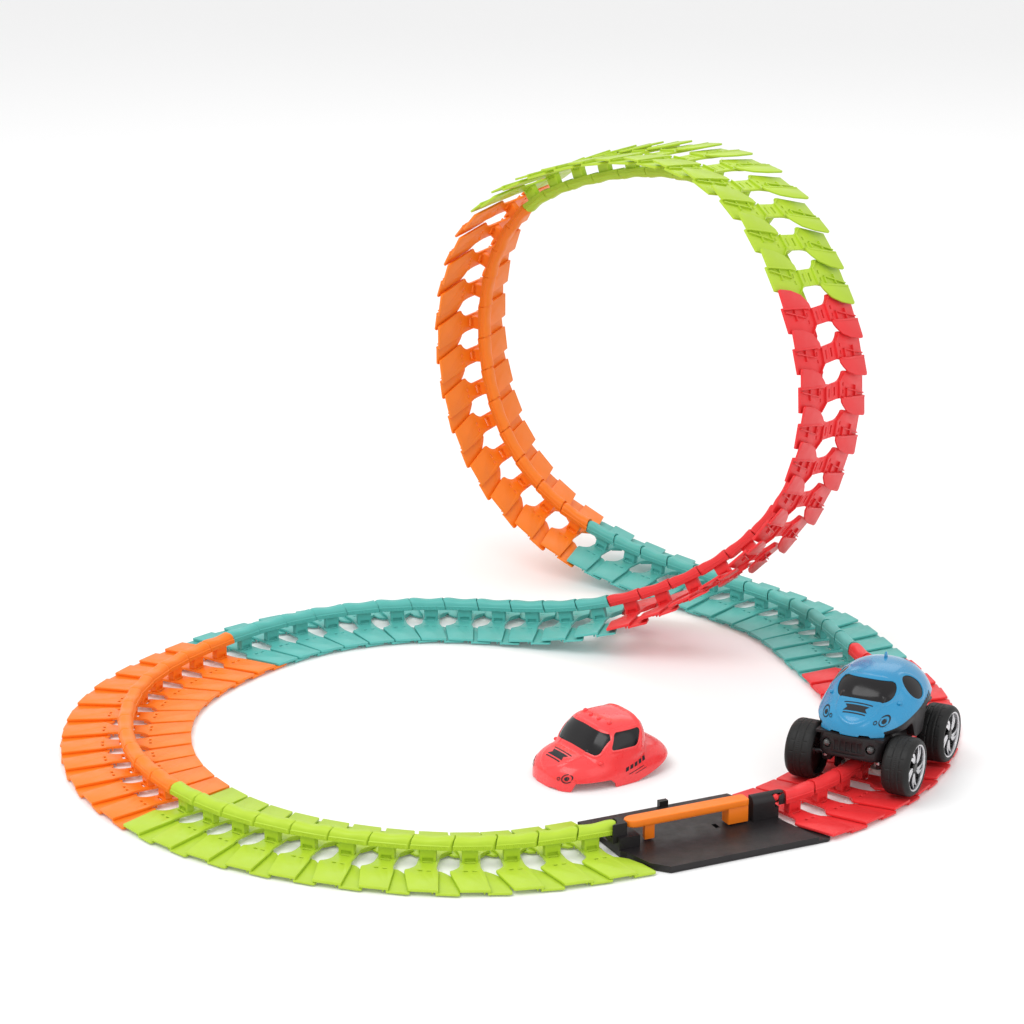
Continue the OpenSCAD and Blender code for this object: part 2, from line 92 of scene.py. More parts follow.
def make_floor():
    """A matt white floor just under the object."""
    bm = bmesh.new()
    bmesh.ops.create_grid(bm, x_segments=8, y_segments=8, size=6)
    mesh = bpy.data.meshes.new("floor")
    bm.to_mesh(mesh)
    bm.free()
    floor = bpy.data.objects.new("floor", mesh)
    bpy.context.scene.collection.objects.link(floor)
    floor.location.z = -FLOOR_DROP
    mat = bpy.data.materials.new("floor")
    mat.use_nodes = True
    shader = mat.node_tree.nodes["Principled BSDF"]
    shader.inputs["Base Color"].default_value = (0.86, 0.86, 0.86, 1)
    shader.inputs["Roughness"].default_value = 0.7
    shader.inputs["Emission Color"].default_value = (1, 1, 1, 1)
    shader.inputs["Emission Strength"].default_value = 0.08
    mesh.materials.append(mat)


# ---- Materials --------------------------------------------------------------------------------


def new_material(name):
    mat = bpy.data.materials.new(name)
    mat.use_nodes = True
    tree = mat.node_tree
    shader = tree.nodes["Principled BSDF"]
    coords = tree.nodes.new("ShaderNodeTexCoord")
    return mat, tree, shader, coords.outputs["Object"]


def noise(tree, coords, scale, detail=4):
    node = tree.nodes.new("ShaderNodeTexNoise")
    node.inputs["Scale"].default_value = scale
    node.inputs["Detail"].default_value = detail
    tree.links.new(coords, node.inputs["Vector"])
    return node.outputs["Fac"]


def ramp(tree, value, low, high, at=(0.35, 0.65)):
    node = tree.nodes.new("ShaderNodeValToRGB")
    for stop, place, colour in zip(node.color_ramp.elements, at, (low, high)):
        stop.position, stop.color = place, colour
    tree.links.new(value, node.inputs["Fac"])
    return node.outputs["Color"]


def grey(v):
    return (v, v, v, 1)


def shade(colour, k):
    return tuple(min(1, c * k) for c in colour[:3]) + (1,)


def vary(tree, shader, socket, texture, low, high):
    """Lets a texture move one of the shader's inputs between two colours or greys."""
    tree.links.new(ramp(tree, texture, low, high), shader.inputs[socket])


def moulded(name, colour, rough=0.35, grain=0.03, coat=0.0, ribs=False):
    """Moulded plastic: slow colour drift, uneven gloss and a fine grain in the surface."""
    mat, tree, shader, coords = new_material(name)
    vary(tree, shader, "Base Color", noise(tree, coords, 22), shade(colour, 0.93), shade(colour, 1.05))
    vary(tree, shader, "Roughness", noise(tree, coords, 120), grey(rough - 0.05), grey(rough + 0.07))
    shader.inputs["Specular IOR Level"].default_value = 0.35
    shader.inputs["Coat Weight"].default_value = coat
    shader.inputs["Coat Roughness"].default_value = 0.08
    bump = tree.nodes.new("ShaderNodeBump")
    bump.inputs["Strength"].default_value = grain * 4
    bump.inputs["Distance"].default_value = 0.0002
    tree.links.new(noise(tree, coords, 1800, 2), bump.inputs["Height"])
    last = rack_bump(tree, coords, bump) if ribs else bump
    tree.links.new(last.outputs["Normal"], shader.inputs["Normal"])
    return mat


def maths(tree, kind, *inputs):
    node = tree.nodes.new("ShaderNodeMath")
    node.operation = kind
    for socket, value in zip(node.inputs, inputs):
        if isinstance(value, (int, float)):
            socket.default_value = value
        else:
            tree.links.new(value, socket)
    return node.outputs[0]


RIB_STEP = 0.0011
RIB_BAND_DEPTH = 0.0031
RIB_BAND_HALF = 0.0014


def rack_bump(tree, coords, before):
    """The fine upright ribs moulded along the rail's lower band, which the rollers grip."""
    split = tree.nodes.new("ShaderNodeSeparateXYZ")
    tree.links.new(coords, split.inputs[0])
    wave = maths(tree, "SINE", maths(tree, "MULTIPLY", split.outputs["X"], 2 * math.pi / RIB_STEP))
    off_middle = maths(tree, "ABSOLUTE", maths(tree, "ADD", split.outputs["Z"], RIB_BAND_DEPTH))
    band = maths(tree, "LESS_THAN", off_middle, RIB_BAND_HALF)
    bump = tree.nodes.new("ShaderNodeBump")
    bump.inputs["Strength"].default_value = 0.5
    bump.inputs["Distance"].default_value = 0.0003
    tree.links.new(maths(tree, "MULTIPLY", wave, band), bump.inputs["Height"])
    tree.links.new(before.outputs["Normal"], bump.inputs["Normal"])
    return bump


def metal(name, colour, rough, brushed=0.0):
    mat, tree, shader, coords = new_material(name)
    vary(tree, shader, "Base Color", noise(tree, coords, 60), shade(colour, 0.9), shade(colour, 1.05))
    vary(tree, shader, "Roughness", noise(tree, coords, 400), grey(rough), grey(rough + 0.12))
    shader.inputs["Metallic"].default_value = 1
    bump = tree.nodes.new("ShaderNodeBump")
    bump.inputs["Strength"].default_value = 0.05 + brushed
    bump.inputs["Distance"].default_value = 0.0001
    tree.links.new(noise(tree, coords, 2500, 2), bump.inputs["Height"])
    tree.links.new(bump.outputs["Normal"], shader.inputs["Normal"])
    return mat


# Base colours are linear, red, green and blue
MAT = {
    "red": moulded("plastic_red", (0.78, 0.032, 0.036), 0.4, ribs=True),
    "teal": moulded("plastic_teal", (0.10, 0.46, 0.42), 0.4, ribs=True),
    "orange": moulded("plastic_orange", (0.93, 0.21, 0.010), 0.4, ribs=True),
    "green": moulded("plastic_green", (0.44, 0.62, 0.035), 0.4, ribs=True),
    "black_plastic": moulded("plastic_black", (0.012, 0.010, 0.011), 0.45, grain=0.08),
    "car_blue": moulded("car_blue", (0.018, 0.24, 0.46), 0.24, grain=0.01, coat=0.35),
    "spare_red": moulded("spare_red", (0.86, 0.048, 0.052), 0.28, grain=0.01, coat=0.3),
    "dark_window": moulded("dark_window", (0.006, 0.005, 0.006), 0.16, grain=0.005),
    "print_black": moulded("print_black", (0.010, 0.012, 0.016), 0.45, grain=0.02),
    "tyre": moulded("tyre", (0.008, 0.008, 0.008), 0.55, grain=0.15),
    "rim": metal("rim", (0.60, 0.60, 0.62), 0.22),
    "rim_black": moulded("rim_black", (0.004, 0.004, 0.004), 0.3, grain=0.02),
    "steel": metal("steel", (0.50, 0.50, 0.51), 0.3, 0.1),
    "brass": metal("brass", (0.55, 0.36, 0.11), 0.3),
    "white_plastic": moulded("white_plastic", (0.62, 0.61, 0.58), 0.45),
    "battery": metal("battery", (0.48, 0.28, 0.06), 0.35),
    "board": moulded("board", (0.006, 0.09, 0.03), 0.4),
}


def lamp_material():
    mat, tree, shader, coords = new_material("lamp")
    vary(tree, shader, "Base Color", noise(tree, coords, 300), grey(0.05), grey(0.12))
    shader.inputs["Roughness"].default_value = 0.1
    shader.inputs["Transmission Weight"].default_value = 0.3
    return mat


MAT["lamp"] = lamp_material()

# ---- Mesh helpers -----------------------------------------------------------------------------


def solid(name, verts, faces):
    """A mesh object in millimetres, turned so that its faces look outwards."""
    mesh = bpy.data.meshes.new(name)
    mesh.from_pydata([[float(c) * MM for c in v] for v in verts], [], [list(map(int, f)) for f in faces])
    bm = bmesh.new()
    bm.from_mesh(mesh)
    bmesh.ops.remove_doubles(bm, verts=bm.verts, dist=1e-7)
    bmesh.ops.recalc_face_normals(bm, faces=bm.faces)
    bm.to_mesh(mesh)
    bm.free()
    obj = bpy.data.objects.new(name, mesh)
    bpy.context.scene.collection.objects.link(obj)
    return obj


def prism(name, outline, low, high):
    n = len(outline)
    verts = [(x, y, low) for x, y in outline] + [(x, y, high) for x, y in outline]
    faces = [list(range(n))[::-1], list(range(n, 2 * n))]
    faces += [[i, (i + 1) % n, n + (i + 1) % n, n + i] for i in range(n)]
    return solid(name, verts, faces)


def bar(x0, x1, y0, y1):
    """A rectangle's corners."""
    return [(x0, y0), (x1, y0), (x1, y1), (x0, y1)]


def block(name, low, high):
    return prism(name, bar(low[0], high[0], low[1], high[1]), low[2], high[2])


def carve(obj, cutters):
    for cutter in cutters:
        mod = obj.modifiers.new("cut", "BOOLEAN")
        mod.operation, mod.solver, mod.object = "DIFFERENCE", "EXACT", cutter


def bevel(obj, width, segments=2, angle=35):
    mod = obj.modifiers.new("bevel", "BEVEL")
    mod.width, mod.segments = width * MM, segments
    mod.limit_method, mod.angle_limit = "ANGLE", math.radians(angle)
    mod.use_clamp_overlap = True


def baked(obj):
    """The object's mesh with its modifiers applied; the object itself is removed."""
    graph = bpy.context.evaluated_depsgraph_get()
    graph.update()
    mesh = bpy.data.meshes.new_from_object(obj.evaluated_get(graph))
    bpy.data.objects.remove(obj)
    return mesh


def discard(objects):
    for obj in objects:
        bpy.data.objects.remove(obj)


def joined(name, meshes):
    bm = bmesh.new()
    for mesh in meshes:
        bm.from_mesh(mesh)
    mesh = bpy.data.meshes.new(name)
    bm.to_mesh(mesh)
    bm.free()
    return mesh


def smooth(mesh, angle=35):
    mesh.shade_smooth()
    mesh.set_sharp_from_angle(angle=math.radians(angle))


def place(name, mesh, matrix, slot, body, nodes=(), material=None):
    obj = bpy.data.objects.new(name, mesh)
    bpy.context.scene.collection.objects.link(obj)
    if not mesh.materials:
        mesh.materials.append(None)
    obj.material_slots[0].link = "OBJECT"
    obj.material_slots[0].material = MAT[material or slot]
    obj.matrix_world = matrix
    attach(obj, body)
    if nodes:
        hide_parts(*nodes)
    return obj


# ---- The route of the ball joints, as the CAD lays it out ----------------------------------------

BALL_H, CURVE_R = 17.0, 222.0
CURVE_START, CURVE_END, SPAN = -55.0, 8.0, 90.0
STATION_END, STATION_END_HEADING = (56.5, -281.5), 23
CENTRE_SHIFT = np.array([-0.46, 5.42, 0.0])
CURVE_CENTRE = np.array([35.0, -55.0, 0.0])
LOW = BALL_H
RUN = 12
LINKS = 8 * RUN
# From and to these links, and over this many of them, each left side turns to one fixed heading
LEAN_FROM, LEAN_TO, LEAN_OVER, LEAN_HEADING = 17, 66, 11, 234
WAYPOINTS = [
    [215, 135, LOW], [100, 240, LOW], [30, 275, 47], [-15, 290, 112], [-25, 295, 207], [0, 265, 277],
    [40, 220, 312], [120, 155, 337], [170, 100, 317], [195, 65, 267], [215, 55, 202], [200, 60, 127],
    [160, 65, 77], [100, 90, 37], [30, 115, LOW], [-60, 140, LOW], [-155, 110, LOW], [-215, 45, LOW],
    [-260, -35, LOW], [-255, -130, LOW], [-230, -195, LOW], [-165, -275, LOW],
]


def heading(angle):
    a = math.radians(angle)
    return np.array([math.cos(a), math.sin(a), 0.0])


def unit(v):
    return v / np.linalg.norm(v)


def ease(t):
    t = min(1, max(0, t))
    return t * t * (3 - 2 * t)


def route_joints():
    """The balls' places: an arc, then a smooth curve past the waypoints to the station, cut evenly."""
    def on_curve(angle):
        return CURVE_CENTRE + CURVE_R * heading(angle) + np.array([0, 0, BALL_H])

    leave, along = on_curve(CURVE_END), heading(CURVE_END + 90) * SPAN
    inward = -heading(CURVE_END) * SPAN * SPAN / CURVE_R
    end = np.array([*STATION_END, BALL_H])
    run_in = heading(STATION_END_HEADING) * SPAN
    c = [leave - along + inward / 3, leave - inward / 6, leave + along + inward / 3]
    c += [np.array(p, float) for p in WAYPOINTS] + [end - run_in, end, end + run_in]
    points = [on_curve(CURVE_START + (CURVE_END - CURVE_START) * i / 60) for i in range(60)]
    for k in range(len(c) - 3):
        for t in np.arange(16) / 16:
            points.append(((1 - t) ** 3 * c[k] + (3 * t**3 - 6 * t**2 + 4) * c[k + 1]
                           + (-3 * t**3 + 3 * t**2 + 3 * t + 1) * c[k + 2] + t**3 * c[k + 3]) / 6)
    points = np.array(points + [end])
    run = np.r_[0, np.cumsum(np.linalg.norm(np.diff(points, axis=0), axis=1))]
    at = np.linspace(0, run[-1], LINKS + 1)
    return np.stack([np.interp(at, run, points[:, k]) for k in range(3)], axis=1)


JOINTS = route_joints()


def matrix_of(x, y, z, origin):
    m = Matrix.Identity(4)
    for col, vec in enumerate((x, y, z)):
        for row in range(3):
            m[row][col] = float(vec[row])
    for row in range(3):
        m[row][3] = float(origin[row]) * MM
    return m


def link_matrix(i):
    f = unit(JOINTS[i + 1] - JOINTS[i])
    lean = ease((i + 0.5 - LEAN_FROM) / LEAN_OVER) * ease((LEAN_TO - i - 0.5) / LEAN_OVER)
    side = lean * heading(LEAN_HEADING) + (1 - lean) * unit(np.cross([0, 0, 1], f))
    left = unit(side - side.dot(f) * f)
    return matrix_of(f, left, np.cross(f, left), JOINTS[i] + CENTRE_SHIFT)


# ---- One track link -------------------------------------------------------------------------------

PITCH, POST_X = 25.0, 14.9
PLATE = 4.2 - BALL_H
UNDER = 12.45 - BALL_H
TOP = 20.2 - BALL_H
FLOOR = -BALL_H
BALL_R = 2.25
NECK_BACK, NECK_FRONT, NECK_Y = 8.7, 21.1, -6.5
# The right-hand half from above: the plate's back and front edges, the tab and the step beside it
PLATE_BACK = [(NECK_BACK, NECK_Y), (8.5, -8), (7.9, -9.8), (6.6, -11.8), (4.9, -13.5), (2.9, -14.8),
              (2.9, -17), (8.9, -42.5)]
PLATE_FRONT = [(26.9, -42.5), (23.4, -17), (22.0, -12.5), (21.5, -10.6), (21.2, -8.4), (NECK_FRONT, NECK_Y)]
TAB = [(25.2, -42.4), (38.2, -42.4), (39.2, -41.8), (39.5, -41), (39.4, -39.6), (36.7, -28.5),
       (32.2, -18.6), (27.4, -13.8), (24.4, -11.4), (20.9, -10.8), (21.8, -17)]
STEP = [(25.2, -42.2), (26.6, -42.2), (23.1, -17), (21.7, -12.8), (20.3, -12.8), (21.7, -17)]
# Stiffening ribs under the plate
RIBS = [
    [(8.9, -8.8), (20.9, -8.8), (20.9, -9.6), (8.7, -9.6)],
    [(15.4, -18.8), (21.6, -18.8), (21.6, -19.6), (15.4, -19.6)],
    [(15.4, -30), (23.2, -30), (23.2, -30.8), (15.4, -30.8)],
    [(15.4, -18.8), (16.2, -18.8), (23.8, -41), (23, -41.8)],
    [(3.9, -15.9), (4.6, -15.4), (9.8, -9.2), (9.2, -8.8)],
]


def turned(outline):
    """The same outline on the link's other side, half a turn about the post."""
    return [(2 * POST_X - x, -y) for x, y in outline]


HEAD_HALF = 5
HEAD_SIDE = 4.55
HOOD_BACK_R, HOOD_FRONT_R = 6.8, 6.0
# The top dips by DIP up to this part of the length, then drops by NOSE over the last tenth
DIP, DIP_END, NOSE = 0.95, 0.82, 0.7


def rail_head():
    """The rail head: a rounded hood in front, hollowed at the back for the hood of the link behind."""
    # The right half of its section, seen from the front
    half = [(0, UNDER), (2.5, UNDER), (4.7, UNDER), (HEAD_HALF, UNDER + 0.3), (HEAD_HALF, UNDER + 2.9),
            (HEAD_SIDE, UNDER + 3.3)]
    base = half[-1][1]
    for t in np.linspace(0, math.pi / 2, 10)[1:]:
        half.append((HEAD_SIDE * math.cos(t) ** 0.8, base + (TOP - base) * math.sin(t) ** 0.9))
    half[-1] = (0, TOP)
    steps, across = 20, 8
    verts, faces = [], []

    def x_at(u, y):
        back = math.sqrt(HOOD_BACK_R**2 - y * y)
        front = PITCH + math.sqrt(HOOD_FRONT_R**2 - min(y * y, HEAD_HALF**2))
        return back + u * (front - back)

    def z_at(u, z):
        if z <= base:
            return z
        rise = (z - base) / (TOP - base)
        dip = DIP * math.sin(math.pi * min(1, u / DIP_END)) ** 1.4 if u < DIP_END else 0
        nose = NOSE * max(0, (u - 0.9) / 0.1) ** 2
        return z - rise * (dip + nose)

    ring = [(y, z) for y, z in half[1:-1]] + [half[-1]] + [(-y, z) for y, z in half[-2:0:-1]] + [half[0]]
    n = len(ring)
    for s in range(steps + 1):
        u = s / steps
        for y, z in ring:
            verts.append((x_at(u, y), y, z_at(u, z)))
    for s in range(steps):
        for k in range(n):
            faces.append([s * n + k, s * n + (k + 1) % n, (s + 1) * n + (k + 1) % n, (s + 1) * n + k])
    for u in (0, 1):
        rows = []
        for y, z in half:
            row = []
            for q in range(across + 1):
                yy = y * (2 * q / across - 1)
                verts.append((x_at(u, yy), yy, z_at(u, z)))
                row.append(len(verts) - 1)
            rows.append(row)
        for a, b in zip(rows, rows[1:]):
            for q in range(across):
                faces.append([a[q], a[q + 1], b[q + 1], b[q]])
    obj = solid("head", verts, faces)
    bm = bmesh.new()
    bm.from_mesh(obj.data)
    bmesh.ops.dissolve_degenerate(bm, edges=bm.edges, dist=1e-7)
    bmesh.ops.recalc_face_normals(bm, faces=bm.faces)
    bm.to_mesh(obj.data)
    bm.free()
    bevel(obj, 0.3, 2, 50)
    return baked(obj)


def post_mesh():
    """The post under the rail head, with a notch in each side at its foot."""
    post = block("post", (POST_X - 5, -2.5, PLATE - 0.5), (POST_X + 5, 2.5, UNDER + 0.5))
    cuts = []
    for y in (-2.1, 2.1):
        cuts.append(block("cut", (POST_X - 3.1, y - 0.9, PLATE - 2), (POST_X + 3.1, y + 0.9, PLATE + 2.2)))
    carve(post, cuts)
    bevel(post, 0.5, 2)
    mesh = baked(post)
    discard(cuts)
    return mesh


def opening(x, y, half_x, half_y):
    """A cutter through the plate."""
    return block("cut", (x - half_x, y - half_y, FLOOR - 1), (x + half_x, y + half_y, FLOOR + 8))


def wing_meshes(way):
    """One side of a link: its plate with three openings, the tab in front of it and the step between."""
    places = way([(POST_X - 2.65, -15.5), (POST_X + 2.65, -15.5), (POST_X, -3.6)])
    cuts = [opening(x, y, *half) for (x, y), half in zip(places, ((1.3, 0.8), (1.3, 0.8), (3.1, 0.9)))]
    whole = way([(NECK_BACK, 0)] + PLATE_BACK + PLATE_FRONT + [(NECK_FRONT, 0)])
    plate = prism("wing", whole, PLATE - 1.8, PLATE)
    carve(plate, cuts)
    bevel(plate, 0.4, 2)
    tab = prism("wing", way(TAB), FLOOR + 0.7, PLATE - 2.1)
    bevel(tab, 0.3, 2)
    step = prism("wing", way(STEP), FLOOR + 0.4, PLATE - 0.5)
    bevel(step, 0.2, 2)
    meshes = [baked(piece) for piece in (plate, tab, step)]
    discard(cuts)
    for outline in RIBS:
        rib = prism("rib", way(outline), FLOOR + 0.9, PLATE - 1.7)
        bevel(rib, 0.15, 1)
        meshes.append(baked(rib))
    return meshes


def ball_mesh():
    """The ball at the back end, and its neck."""
    bm = bmesh.new()
    bmesh.ops.create_icosphere(bm, subdivisions=2, radius=BALL_R * MM)
    turn = Matrix.Translation((4 * MM, 0, 0)) @ Matrix.Rotation(math.pi / 2, 4, "Y")
    bmesh.ops.create_cone(bm, segments=12, radius1=MM, radius2=MM, depth=8 * MM, matrix=turn, cap_ends=True)
    mesh = bpy.data.meshes.new("ball")
    bm.to_mesh(mesh)
    bm.free()
    return mesh


def link_mesh():
    parts = [rail_head(), post_mesh()]
    parts += wing_meshes(lambda outline: outline)
    parts += wing_meshes(turned)
    parts.append(ball_mesh())
    link = joined("link", parts)
    smooth(link, 40)
    return link


SECTIONS = [("red_curve", "red"), ("teal_climb", "teal"), ("orange_loop", "orange"),
            ("green_loop", "green"), ("red_loop", "red"), ("teal_back", "teal"), ("orange_curve", "orange")]


def make_track():
    link = link_mesh()
    for part, (name, colour) in enumerate(SECTIONS):
        for k in range(RUN):
            matrix = link_matrix(part * RUN + k)
            place(f"{name}_link_{k + 1:02d}_piece", link, matrix, colour, "track", [f"{name}_links"])
    for k in range(RUN):
        name = f"green_link_{k + 1:02d}"
        place(f"{name}_piece", link, link_matrix(len(SECTIONS) * RUN + k), "green", name, [name])


# ---- Car shells ------------------------------------------------------------------------------------

SIDES = ((1, "left"), (-1, "right"))
CAR_LINK = 4.1
CAR_ANGLE = CURVE_START + 1 + CAR_LINK * PITCH / CURVE_R * 180 / math.pi
CAR_M = matrix_of(heading(CAR_ANGLE - 90), heading(CAR_ANGLE), (0, 0, 1),
                  CURVE_CENTRE + CURVE_R * heading(CAR_ANGLE) + CENTRE_SHIFT)
SPARE_HEADING = 213
SPARE_AT = np.array([57.5, -149.6, 0])
SPARE_M = matrix_of(heading(SPARE_HEADING), heading(SPARE_HEADING + 90), (0, 0, 1), SPARE_AT + CENTRE_SHIFT)
SHELL_Z = 42.3
BELT = 17.0
RAKE = 0.32
PILLAR_X = 12.5
NO_WINDOW = 9


def super_radius(p, centre, size, plan, rise, rake=0.0):
    """Below 1 inside a rounded block with its own squareness in plan and in height; rake leans it back."""
    x = np.abs((p[..., 0] + rake * (p[..., 2] - BELT) - centre[0]) / size[0])
    y = np.abs((p[..., 1] - centre[1]) / size[1])
    z = np.abs((p[..., 2] - centre[2]) / size[2])
    return ((x**plan + y**plan) ** (rise / plan) + z**rise) ** (1 / rise)


def soft_union(a, b, k):
    h = np.clip(0.5 + 0.5 * (b - a) / k, 0, 1)
    return b * (1 - h) + a * h - k * h * (1 - h)


def round_form(p):
    cabin = super_radius(p, (-8, 0, 0), (38, 33, 32.8), 2.3, 2.3)
    body = super_radius(p, (1, 0, -3), (44.5, 33.8, 22.5), 2.4, 2.5)
    return soft_union(cabin, body, 0.14)


def pickup_form(p):
    cabin = super_radius(p, (1, 0, 2), (24, 29, 36.5), 3.0, 3.2, RAKE)
    body = super_radius(p, (0, 0, -2), (45.5, 30, 22.5), 2.8, 3.4)
    return soft_union(cabin, body, 0.08)


def rounded_box(a, b, half_a, half_b, r):
    """Distance outside a rounded rectangle, negative inside."""
    qa, qb = abs(a) - half_a + r, abs(b) - half_b + r
    return math.hypot(max(qa, 0), max(qb, 0)) + min(max(qa, qb), 0) - r


def round_windows(x, y, z):
    """Below zero inside the windscreen, a side window or the rear one."""
    front = rounded_box(y, z - 23.2 + 0.004 * y * y, 19.2, 5.0, 4.9) if x > 10 else NO_WINDOW
    side = (math.hypot((x + 0.2) / 8.0, (z - 21.5) / 6.6) - 1) * 7 if abs(y) > 15 else NO_WINDOW
    back = rounded_box(y, z - 23, 15, 5.2, 4.5) if x < -18 else NO_WINDOW
    return min(front, side, back)


def pickup_windows(x, y, z):
    lean = x + RAKE * (z - BELT)
    front = rounded_box(y, z - 28.2 + 0.004 * y * y, 23, 6, 3) if lean > PILLAR_X else NO_WINDOW
    beside = abs(y) > 14 and lean < PILLAR_X
    side = rounded_box(lean + 0.25 * (z - 28) - 1.5, z - 28.4, 9.8, 4.8, 2) if beside else NO_WINDOW
    back = rounded_box(y, z - 28.6, 13, 3.6, 2) if lean < -14 and abs(y) < 16 else NO_WINDOW
    return min(front, side, back)


def wheel_edge(x):
    """Height of the round shell's lower edge along its sides, above the wheels."""
    return min(3.5 + (38.5 - x) * 0.2, 12.5)


def round_edge(x, y, z):
    """Below zero where the lower edge is cut away."""
    if abs(y) < 19 or x > 38.5 or x < -41:
        return z - (1.2 if abs(y) < 13 and x > 0 and int(abs(y) / 6.5) == 1 else 0)
    return z - wheel_edge(x)


def pickup_edge(x, y, z):
    if x < -7:
        return z - min(9, (-7 - x) * 0.27)
    if abs(y) < 19 or x > 38 or x < 9:
        return z - (0.8 if x > 0 and 8 < abs(y) < 14 else 0)
    return z - min(5.5, (38 - x) * 2.2, 2.2 + (x - 9) * 0.9)


def ridge(distance, width):
    return np.exp(-((distance / width) ** 2))


def relief(p, ring_at, roll_bar):
    """Small raised lines: the U on the bonnet, the headlamp rims and a pickup's roll bar."""
    x, y, z = p[..., 0], p[..., 1], p[..., 2]
    bend = np.abs(np.hypot((x - 27) / 16, y / 14) - 1) * 14
    side = np.abs(np.abs(y) - 14)
    lift = 0.55 * ridge(np.where(x > 27, bend, side), 0.7) * (x > 21)
    rim = np.sqrt((x - ring_at[0]) ** 2 + (np.abs(y) - ring_at[1]) ** 2 + (z - ring_at[2]) ** 2)
    lift += 0.4 * ridge(rim - 2.9, 0.5)
    if roll_bar:
        lift += 1.3 * ridge(x + RAKE * (z - BELT) + 10.5, 1.5) * np.clip((z - BELT) / 3, 0, 1)
    return lift


def reach(form, directions, start=0.0):
    """How far the form's surface is from a start point in each direction, by halving."""
    low = np.zeros(directions.shape[:-1])
    high = np.full(directions.shape[:-1], 60.0)
    for _ in range(24):
        mid = (low + high) / 2
        inside = form(start + directions * mid[..., None]) < 1
        low, high = np.where(inside, mid, low), np.where(inside, high, mid)
    return low


def dome(form, windows, ring_at, roll_bar):
    """The shell's outer skin as rows of points from the lower edge up, with small relief."""
    around, up = 380, 130
    el = np.pi / 2 * np.arange(up)[:, None] / up
    az = 2 * np.pi * np.arange(around)[None, :] / around
    d = np.stack([np.cos(az) * np.cos(el), np.sin(az) * np.cos(el), np.sin(el) + 0 * az], axis=-1)
    p = d * reach(form, d)[..., None]
    lip = np.array([[windows(*q) for q in row] for row in p])
    lift = relief(p, ring_at, roll_bar) + 0.3 * ridge(lip - 0.9, 0.5)
    return p + d * lift[..., None]


def skin(name, form, windows, edge, ring_at, roll_bar):
    """Splits the skin exactly along the window outlines and the lower edge: (shell mesh, window mesh)."""
    rows = dome(form, windows, ring_at, roll_bar)
    n = rows.shape[1]
    verts = [tuple(p) for row in rows for p in row]
    top = len(verts)
    verts.append((0, 0, rows[-1][:, 2].mean()))
    faces = []
    for j in range(len(rows) - 1):
        for i in range(n):
            faces.append([j * n + i, j * n + (i + 1) % n, (j + 1) * n + (i + 1) % n, (j + 1) * n + i])
    last = (len(rows) - 1) * n
    faces += [[last + i, last + (i + 1) % n, top] for i in range(n)]
    return [cut_skin(name, verts, faces, windows, edge, want) for want in (False, True)]


def cut_along(bm, level):
    """Splits edges and faces where the level changes sign; returns every vertex's level."""
    value = {v: level(*v.co) for v in bm.verts}
    for v in value:
        if abs(value[v]) < 1e-4:
            value[v] = 0
    fresh = set()
    for e in list(bm.edges):
        a, b = e.verts
        if value[a] * value[b] < 0:
            _, v = bmesh.utils.edge_split(e, a, value[a] / (value[a] - value[b]))
            value[v] = 0
            fresh.add(v)
    for f in list(bm.faces):
        on = [v for v in f.verts if v in fresh]
        if len(on) == 2 and not any(on[1] in e.verts for e in f.edges if on[0] in e.verts):
            bmesh.utils.face_split(f, on[0], on[1])
    return value


def cut_skin(name, verts, faces, windows, edge, keep_windows):
    bm = bmesh.new()
    vs = [bm.verts.new(v) for v in verts]
    for f in faces:
        bm.faces.new([vs[k] for k in f])
    for level, unwanted in ((windows, not keep_windows), (edge, True)):
        value = cut_along(bm, level)
        drop = [f for f in bm.faces if (sum(value.get(v, 0) for v in f.verts) < 0) == unwanted]
        bmesh.ops.delete(bm, geom=drop, context="FACES")
    for v in bm.verts:
        v.co *= MM
    bmesh.ops.recalc_face_normals(bm, faces=bm.faces)
    mesh = bpy.data.meshes.new(name)
    bm.to_mesh(mesh)
    bm.free()
    return mesh


def thicken(mesh, thick, inset, rim):
    obj = bpy.data.objects.new("thick", mesh)
    bpy.context.scene.collection.objects.link(obj)
    if inset:
        mod = obj.modifiers.new("inset", "DISPLACE")
        mod.strength, mod.mid_level = -inset * MM, 0
    mod = obj.modifiers.new("thickness", "SOLIDIFY")
    mod.thickness, mod.offset = thick * MM, -1
    if rim:
        bevel(obj, rim, 2, 60)
    result = baked(obj)
    for v in result.vertices:
        v.co.z = max(v.co.z, 0)
    smooth(result, 50)
    return result


def on_surface(form, y, z):
    """The skin's x at a given y and z, in front."""
    return float(reach(form, np.array([1.0, 0, 0]), np.array([0.0, y, z])))


def surface_z(form, x, y):
    return float(reach(form, np.array([0, 0, 1.0]), np.array([x, y, 0.0])))


def surface_y(form, x, z, side):
    return side * float(reach(form, np.array([0, 1.0, 0]), np.array([x, 0.0, z])))


PRINT_EDGE = 1.2
PRINT_LIFT = 0.14


def decal(outline, lift_point):
    """A thin print that lies on the skin: an outline in two directions, filled and laid on."""
    bm = bmesh.new()
    vs = [bm.verts.new((a, b, 0)) for a, b in outline]
    bm.faces.new(vs)
    bmesh.ops.triangulate(bm, faces=bm.faces)
    for _ in range(3):
        long = [e for e in bm.edges if e.calc_length() > PRINT_EDGE]
        bmesh.ops.subdivide_edges(bm, edges=long, cuts=1, use_grid_fill=True)
        bmesh.ops.triangulate(bm, faces=bm.faces)
    for v in bm.verts:
        v.co = Vector([c * MM for c in lift_point(v.co.x, v.co.y)])
    mesh = bpy.data.meshes.new("decal")
    bm.to_mesh(mesh)
    bm.free()
    return mesh


